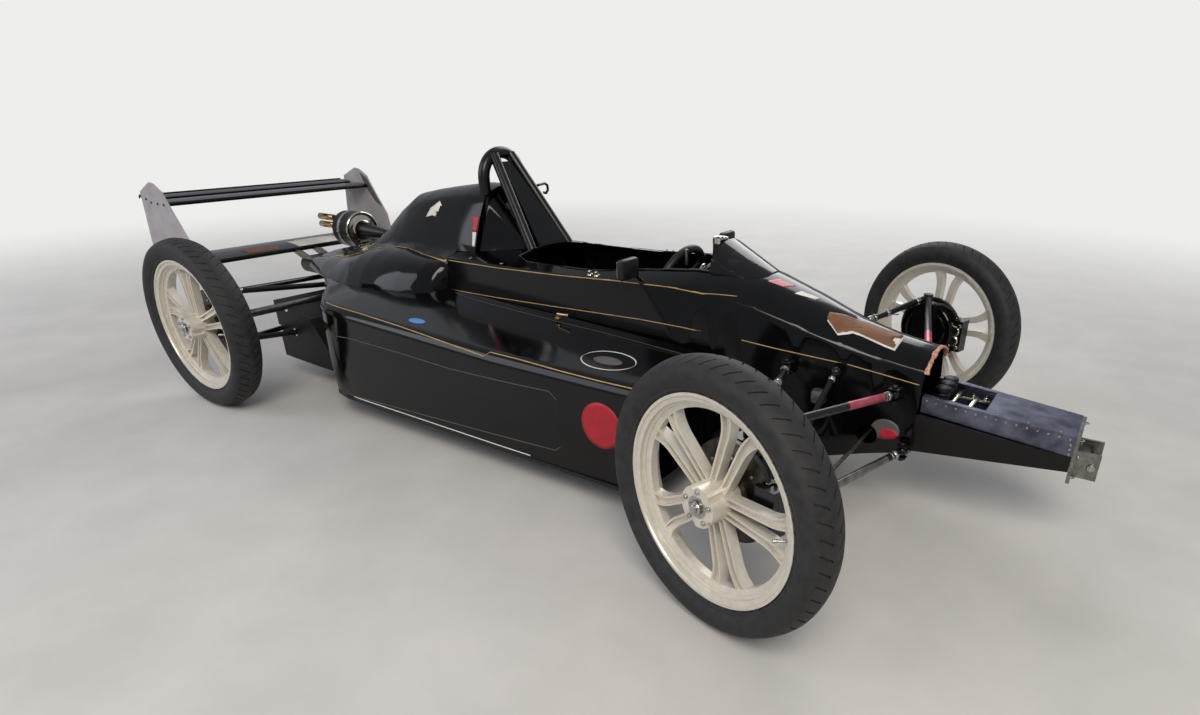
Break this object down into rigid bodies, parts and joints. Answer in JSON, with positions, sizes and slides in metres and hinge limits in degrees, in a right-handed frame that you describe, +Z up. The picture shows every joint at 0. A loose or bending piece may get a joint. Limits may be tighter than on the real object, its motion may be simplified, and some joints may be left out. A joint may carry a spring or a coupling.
{
  "type": "open wheel racing car",
  "caption": "Single seat open wheel racing car on cast motorcycle style wheels, with long sidepods, rear wing, silencer, bare crash box, steering and rolling wheels",
  "frame": {"origin": "on the ground below the middle of the bounding box", "axes": "+X forward, +Y to the driver's left, +Z up"},
  "size_m": [3.983, 1.9304, 0.9759],
  "materials": {
    "black_bodywork": "gloss black paint",
    "black_paint": "satin black paint",
    "black_plastic": "matt black",
    "sheet_aluminium": "bare sheet",
    "bare_steel": "bare steel",
    "cast_alloy": "as cast",
    "cast_wheel": "silver lacquer",
    "tyre_rubber": "worn rubber",
    "disc_iron": "ground iron",
    "pale_plate": "pale grey paint",
    "tinted_screen": "smoked acrylic"
  },
  "bodies": {
    "chassis": {"tub": "black_bodywork", "upper_body": "black_bodywork", "crash_box": "sheet_aluminium", "nose_mount": "bare_steel", "windscreen": "tinted_screen", "dash": "black_plastic", "seat": "black_plastic", "headrest": "black_bodywork", "roll_hoop": "black_paint", "engine_cover": "black_bodywork", "sidepod_right": "black_bodywork", "sidepod_left": "black_bodywork", "radiators": "sheet_aluminium", "underbody": "black_plastic", "engine": "cast_alloy", "gearbox": "cast_alloy", "silencer": "black_paint", "wing_planes": "black_bodywork", "end_plate_right": "pale_plate", "end_plate_left": "pale_plate", "wing_bracket": "bare_steel", "front_arms_right": "black_paint", "front_arms_left": "black_paint", "rear_arms_right": "black_paint", "rear_arms_left": "black_paint", "drive_shafts": "bare_steel", "mirrors": "black_plastic", "rear_upright_right": "black_paint", "rear_upright_left": "black_paint"},
    "knuckle_right": {"front_upright_right": "black_paint"},
    "knuckle_left": {"front_upright_left": "black_paint"},
    "track_rods": {"steering_rack": "bare_steel"},
    "helm": {"steering_wheel": "black_plastic"},
    "wheel_front_right": {"rim_front_right": "cast_wheel", "tyre_front_right": "tyre_rubber", "brake_disc_front_right": "disc_iron"},
    "wheel_front_left": {"rim_front_left": "cast_wheel", "tyre_front_left": "tyre_rubber", "brake_disc_front_left": "disc_iron"},
    "wheel_rear_right": {"rim_rear_right": "cast_wheel", "tyre_rear_right": "tyre_rubber", "brake_disc_rear_right": "disc_iron"},
    "wheel_rear_left": {"rim_rear_left": "cast_wheel", "tyre_rear_left": "tyre_rubber", "brake_disc_rear_left": "disc_iron"}
  },
  "joints": [
    {"name": "steer_right", "type": "hinge", "parent": "chassis", "child": "knuckle_right", "pos_m": [1.31, -0.734, 0.329], "axis": [0, 0, 1], "range_deg": [-4.7, 35.3]},
    {"name": "steer_left", "type": "hinge", "parent": "chassis", "child": "knuckle_left", "pos_m": [1.31, 0.734, 0.329], "axis": [0, 0, 1], "range_deg": [-4.7, 35.3]},
    {"name": "rack_slide", "type": "slide", "parent": "chassis", "child": "track_rods", "axis": [0, 1, 0], "range_m": [-0.00799, 0.05873]},
    {"name": "helm_turn", "type": "hinge", "parent": "chassis", "child": "helm", "pos_m": [0.64, 0, 0.56], "axis": [-0.9445, 0, 0.3286], "range_deg": [-33.4, 247.6]},
    {"name": "spin_front_right", "type": "hinge", "parent": "knuckle_right", "child": "wheel_front_right", "pos_m": [1.28256, -0.83431, 0.329], "axis": [0.2639, 0.9646, 0], "continuous": true},
    {"name": "spin_front_left", "type": "hinge", "parent": "knuckle_left", "child": "wheel_front_left", "pos_m": [1.33744, 0.83431, 0.329], "axis": [0.2639, 0.9646, 0], "continuous": true},
    {"name": "spin_rear_right", "type": "hinge", "parent": "chassis", "child": "wheel_rear_right", "pos_m": [-1.08, -0.776, 0.329], "axis": [0, 1, 0], "continuous": true},
    {"name": "spin_rear_left", "type": "hinge", "parent": "chassis", "child": "wheel_rear_left", "pos_m": [-1.08, 0.776, 0.329], "axis": [0, 1, 0], "continuous": true}
  ],
  "couplings": [
    {"joint": "steer_left", "follows": "steer_right", "ratio": 1},
    {"joint": "rack_slide", "follows": "steer_right", "m_per_rad": 0.095},
    {"joint": "helm_turn", "follows": "steer_right", "ratio": 7}
  ]
}
